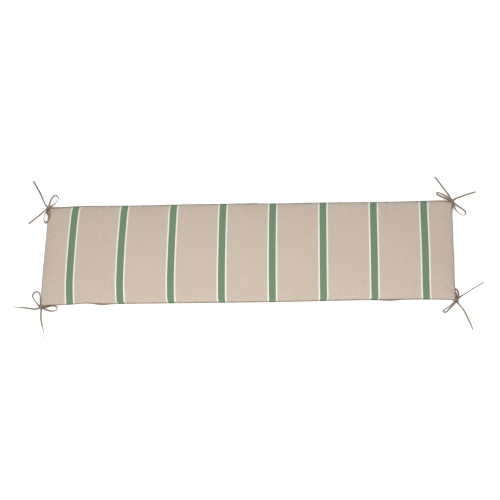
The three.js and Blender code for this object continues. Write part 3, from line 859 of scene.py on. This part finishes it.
@dataclass
class Cushion:
    """The filled cover: two panels sewn together at a seam round the edge, crowned over a soft core."""

    length: float = 1504.0
    depth: float = 389.0
    thickness: float = 61.5
    seam_height: float = 20.0
    corner_drop: float = 5.0
    draw_in: float = 2.5
    corner_radius: float = 8.0
    belly: float = 34.0
    length_fullness: float = 9.0
    depth_fullness: float = 2.2
    edge_rounding: float = 0.45
    closer_at_ends: float = 0.6
    steps_length: int = 150
    steps_depth: int = 44
    steps_edge: int = 16
    crown_wave: Wave = Wave(1.2, 7.3, 0.6, 2.6, -0.5)
    seam_wave: Wave = Wave(0.9, 9.1, 0.8, 2.3, 0.4)
    left_pulls: tuple[Pull, ...] = (Pull(0.9, 0.75, 6.0), Pull(1.0, 0.1, 3.5), Pull(-1.0, 0.25, 3.0))
    right_pulls: tuple[Pull, ...] = (Pull(-0.95, 0.6, 4.5), Pull(0.0, 4.0, 1.2), Pull(1.0, 0.12, -1.5))
    front_pulls: tuple[Pull, ...] = (
        Pull(0.5, 0.3, 4.7), Pull(0.9, 0.2, 4.0), Pull(-0.78, 0.06, 4.0), Pull(0.3, 0.35, -1.8),
    )
    back_pulls: tuple[Pull, ...] = (
        Pull(-0.95, 0.1, 4.0), Pull(0.0, 0.13, -2.0), Pull(0.55, 0.25, 2.2), Pull(1.0, 0.03, 3.0),
    )
    # From the seam's lip to the rim of the face: the distance inside the outline at each row.
    insets: tuple[float, ...] = (-1.3, -0.9, 0.5, 0.8, 1.4, 2.2, 3.4, 5.0, 7.0)
    lip_rises: tuple[float, ...] = (0.0, 0.9, 1.3)
    creases: tuple[Crease, ...] = (
        Crease(741, -160, 137, 70, 7.5, 4.6),
        Crease(739, -176, 170, 40, 8, 1.6),
        Crease(-735, 177, -52, 46, 8, 2.2),
        Crease(-725, 182, -14, 52, 8, 1.4),
        Crease(741, 180, 232, 48, 8, 2.1),
        Crease(-741, -179, 47, 50, 8, 2.0),
        Crease(-728, -184, 12, 56, 8, 1.3),
    )
    # Places where the underside bulges out past the front seam: x, reach and how far.
    bulges: tuple[tuple[float, float, float], ...] = ((-526, 34, 4.5), (512, 40, 4.0))
    bulge_band: float = 0.85
    # The cloth gathers a little towards the front seam, which draws the outer stripes together there.
    gather: float = 11.0
    gather_rate: float = 2.9
    # The cloth also lies a little to the left of its place near both ends, most of all at the back.
    drift: tuple[float, float] = (0.8, 3.4)
    pucker_reach: float = 34.0
    end_share: float = 0.5
    floor_softness: float = 1.5
    core_hold: float = 0.25
    pressure: float = 4.0
    ease: float = 0.012
    frames: int = 20
    move_cap: float = 22.0

    def crowded(self, t: float) -> float:
        """Returns a grid coordinate moved so that the grid is closer near both ends."""
        return between(t, math.sin(t * math.pi / 2), self.closer_at_ends)

    def section_row(self, c: float) -> tuple[float, float | None]:
        """Returns the inset at a height of the side, and the rise where it is on the seam's lip."""
        row = round(abs(c) * (len(self.insets) - 1))
        return self.insets[row], self.lip_rises[row] if row < len(self.lip_rises) else None

    def round_corner(self, x: float, y: float, half_length: float, half_depth: float) -> tuple[float, float]:
        """Moves a corner of the plain outline onto its rounded one.

        Args:
            x: The plain place along the bench.
            y: The plain place across it.
            half_length: The outline's half length there.
            half_depth: The outline's half depth there.

        Returns:
            The rounded place.
        """
        dx = abs(x) - (half_length - self.corner_radius)
        dy = abs(y) - (half_depth - self.corner_radius)
        if dx <= 0.0 or dy <= 0.0:
            return x, y
        pull = max(dx, dy) / math.hypot(dx, dy)
        return (math.copysign(half_length - self.corner_radius + dx * pull, x),
                math.copysign(half_depth - self.corner_radius + dy * pull, y))

    def cover_point(self, a: float, b: float, c: float) -> Vector:
        """Finds the point of the cover for a point of a cube from -1 to 1.

        Args:
            a: The cube's place along the bench.
            b: Its place across it.
            c: Its height: 1 is the face, -1 the underside and 0 the seam.

        Returns:
            The point in millimetres.
        """
        inset, lip_rise = self.section_row(c)
        u, v = self.crowded(a), self.crowded(b)
        wander = self.seam_wave.at(u, v)
        ends, sides = (self.left_pulls, self.right_pulls), (self.front_pulls, self.back_pulls)
        half_length = self.length / 2 - self.draw_in * (1 - v * v) - sum(pull.at(v) for pull in ends[u > 0])
        half_depth = self.depth / 2 - self.draw_in * (1 - u * u) - sum(pull.at(u) for pull in sides[v > 0])
        half_depth += wander * abs(v)
        plain_x, plain_y = u * (half_length - inset), v * (half_depth - inset)
        x, y = self.round_corner(plain_x, plain_y, half_length, half_depth)
        z = self.seam_height - self.corner_drop * abs(u) ** 14 * abs(v) ** 4 + wander
        full_x = 1 - min(abs(plain_x) / half_length, 1.0) ** self.length_fullness
        full_y = 1 - min(abs(plain_y) / half_depth, 1.0) ** self.depth_fullness
        full = (full_x * full_y) ** self.edge_rounding
        if lip_rise is not None:
            z += math.copysign(lip_rise, c)
        elif c > 0:
            z += (self.thickness - self.seam_height + self.crown_wave.at(u, v)) * full
            z -= sum(crease.depth_at(x, y) for crease in self.creases) * smooth_step(full, 0.0, 0.12)
        else:
            z -= self.belly * full
        if c < 0 and v < 0:
            low = smooth_step(-v, self.bulge_band, 1.0)
            y -= sum(out * low * bell(x - place, reach) for place, reach, out in self.bulges)
        return Vector((x, y, z))

    def blank(self) -> tuple[bmesh.types.BMesh, list[Vector]]:
        """Makes the cover as a cube cut into a close grid.

        Returns:
            The mesh, and the cube's place of each of its points.
        """
        bm = bmesh.new()
        bmesh.ops.create_cube(bm, size=2.0)
        for axis, steps in enumerate((self.steps_length, self.steps_depth, self.steps_edge)):
            edges = [e for e in bm.edges if abs(e.verts[0].co[axis] - e.verts[1].co[axis]) > 1.5]
            bmesh.ops.subdivide_edges(bm, edges=edges, cuts=steps - 1, use_grid_fill=True)
        bm.verts.ensure_lookup_table()
        bm.verts.index_update()
        return bm, [vert.co.copy() for vert in bm.verts]

    def arc_tables(self) -> tuple[dict[float, float], dict[float, float], dict[float, float]]:
        """Measures the cloth along the middle of the cover.

        Returns:
            The distance from the middle for each grid place along and across the face, and the
            distance from the rim of the face for each height of the side.
        """
        def walk(places: list[tuple[float, float, float]], keys: list[float]) -> dict[float, float]:
            points = [self.cover_point(*place) for place in places]
            total, table = 0.0, {round(keys[0], 4): 0.0}
            for key, before, after in zip(keys[1:], points, points[1:]):
                total += (after - before).length
                table[round(key, 4)] = total
            return table

        along = [2 * i / self.steps_length for i in range(self.steps_length // 2 + 1)]
        across = [2 * i / self.steps_depth for i in range(self.steps_depth // 2 + 1)]
        down = [1 - 2 * i / self.steps_edge for i in range(self.steps_edge // 2 + 1)]
        return (walk([(a, 0.0, 1.0) for a in along], along),
                walk([(0.0, b, 1.0) for b in across], across),
                walk([(0.0, 1.0, c) for c in down], down))

    def lay_cloth(self, bm: bmesh.types.BMesh, cube: list[Vector]) -> None:
        """Adds the cloth UV map, in metres along and across the bench.

        Args:
            bm: The cover's mesh.
            cube: The cube's place of each of its points.
        """
        along, across, down = self.arc_tables()
        uv = bm.loops.layers.uv.new(CLOTH_UV)
        for face in bm.faces:
            corners = [cube[vert.index] for vert in face.verts]
            panel = Panel.FACE
            if all(abs(corner.x) > 0.9999 for corner in corners):
                panel = Panel.END_SIDE
            elif all(abs(corner.y) > 0.9999 for corner in corners):
                panel = Panel.LONG_SIDE
            for loop in face.loops:
                place = cube[loop.vert.index]
                x = along[round(abs(place.x), 4)]
                y = across[round(abs(place.y), 4)]
                if panel is Panel.END_SIDE:
                    x += down[round(abs(place.z), 4)]
                elif panel is Panel.LONG_SIDE:
                    y += down[round(abs(place.z), 4)]
                    if place.y < 0.0:
                        x += self.gather * math.sin(self.gather_rate * abs(place.x)) * (1.0 - abs(place.z))
                slip = place.x ** 2 * between(*self.drift, (place.y + 1.0) / 2)
                loop[uv].uv = ((math.copysign(x, place.x) + slip) * MM, math.copysign(y, place.y) * MM)

    def rest_on_floor(self, points: list[Vector]) -> None:
        """Flattens the underside softly where it comes to the floor.

        Args:
            points: The cover's points in millimetres, which are moved.
        """
        for point in points:
            point.z = (point.z + math.hypot(point.z, self.floor_softness)) / 2
        lowest = min(point.z for point in points)
        for point in points:
            point.z -= lowest * bell(point.z - lowest, 8.0)

    def fill(self, cushion: bpy.types.Object, cube: list[Vector]) -> list[Vector]:
        """Blows the sewn cover up like its filling does, with Blender's cloth.

        The seam is held, and the cloth is cut a little longer than the seam, so it puckers there.

        Args:
            cushion: The cover's object, in metres.
            cube: The cube's place of each of its points.

        Returns:
            How far each point moves, in millimetres, within the cap.
        """
        held = cushion.vertex_groups.new(name="held")
        for index, place in enumerate(cube):
            hold = 1.0 - smooth_step(abs(place.z), 0.2, 0.45)
            held.add([index], between(self.core_hold, 1.0, hold), "REPLACE")
        cloth = cushion.modifiers.new("filling", "CLOTH")
        cloth.settings.vertex_group_mass = held.name
        cloth.settings.pin_stiffness = 1.0
        cloth.settings.quality = 6
        cloth.settings.mass = 0.25
        cloth.settings.tension_stiffness = cloth.settings.compression_stiffness = 12.0
        cloth.settings.shear_stiffness = 4.0
        cloth.settings.bending_stiffness = 0.3
        cloth.settings.use_pressure = True
        cloth.settings.uniform_pressure_force = self.pressure
        cloth.settings.shrink_min = -self.ease
        cloth.settings.effector_weights.gravity = 0.0
        cloth.collision_settings.use_collision = False
        cloth.collision_settings.use_self_collision = False
        cloth.point_cache.frame_start = 1
        cloth.point_cache.frame_end = self.frames
        for number in range(1, self.frames + 1):
            bpy.context.scene.frame_set(number)
        shape = cushion.evaluated_get(bpy.context.evaluated_depsgraph_get()).to_mesh()
        moves = [(after.co - before.co) / MM for before, after in zip(cushion.data.vertices, shape.vertices)]
        cushion.modifiers.remove(cloth)
        cushion.vertex_groups.remove(held)
        bpy.context.scene.frame_set(1)
        LOG.info("filling moves the cover by %.1f mm at most", max(move.length for move in moves))
        return [move * min(1.0, self.move_cap / max(move.length, 1e-6)) for move in moves]

    def build(self, material: bpy.types.Material) -> None:
        """Builds the filled cover and dresses it.

        Args:
            material: The cover's finish.
        """
        bm, cube = self.blank()
        self.lay_cloth(bm, cube)
        shade, long_pucker, end_pucker = (
            bm.verts.layers.float.new(name) for name in (PAINTED_SEAM_AND_BACK_SHADE, LONG_PUCKER, END_PUCKER)
        )
        for vert, place in zip(bm.verts, cube):
            vert.co = self.cover_point(*place) * MM
            # Painted shade: the seam's crease is darkened, and so is the back side, which faces away from the
            # softboxes.
            vert[shade] = 1.0 - smooth_step(abs(place.z), 0.15, 0.6)
            if place.y > 0.9999:
                vert[shade] = max(vert[shade], 1.0 - smooth_step(abs(place.z), 0.75, 1.3))
            u, v = self.crowded(place.x), self.crowded(place.y)
            vert[long_pucker] = bell((1.0 - abs(v)) * self.depth / 2, self.pucker_reach)
            vert[end_pucker] = self.end_share * bell((1.0 - abs(u)) * self.length / 2, self.pucker_reach)
        bmesh.ops.recalc_face_normals(bm, faces=bm.faces)
        cushion = object_from(bm, "cushion_cover")
        points = [vert.co / MM for vert in cushion.data.vertices]
        points = [point + move for point, move in zip(points, self.fill(cushion, cube))]
        self.rest_on_floor(points)
        for vert, point in zip(cushion.data.vertices, points):
            vert.co = point * MM
        LOG.info("the cover's top is at %.1f mm", max(point.z for point in points))
        smoother = cushion.modifiers.new("smoother", "SUBSURF")
        smoother.levels = smoother.render_levels = 1
        dress(cushion, material, "cushion")


def main() -> None:
    """Builds the studio, the ties and the cushion."""
    studio = Studio()
    studio.camera()
    tape = StitchedTape().material()
    for tie in TIES:
        tie.build(tape)
    Cushion().build(StripedCanvas().material())
    studio.floor()
    studio.lights()


if __name__ == "__main__":
    logging.basicConfig(level=logging.INFO, format="%(message)s")
    main()
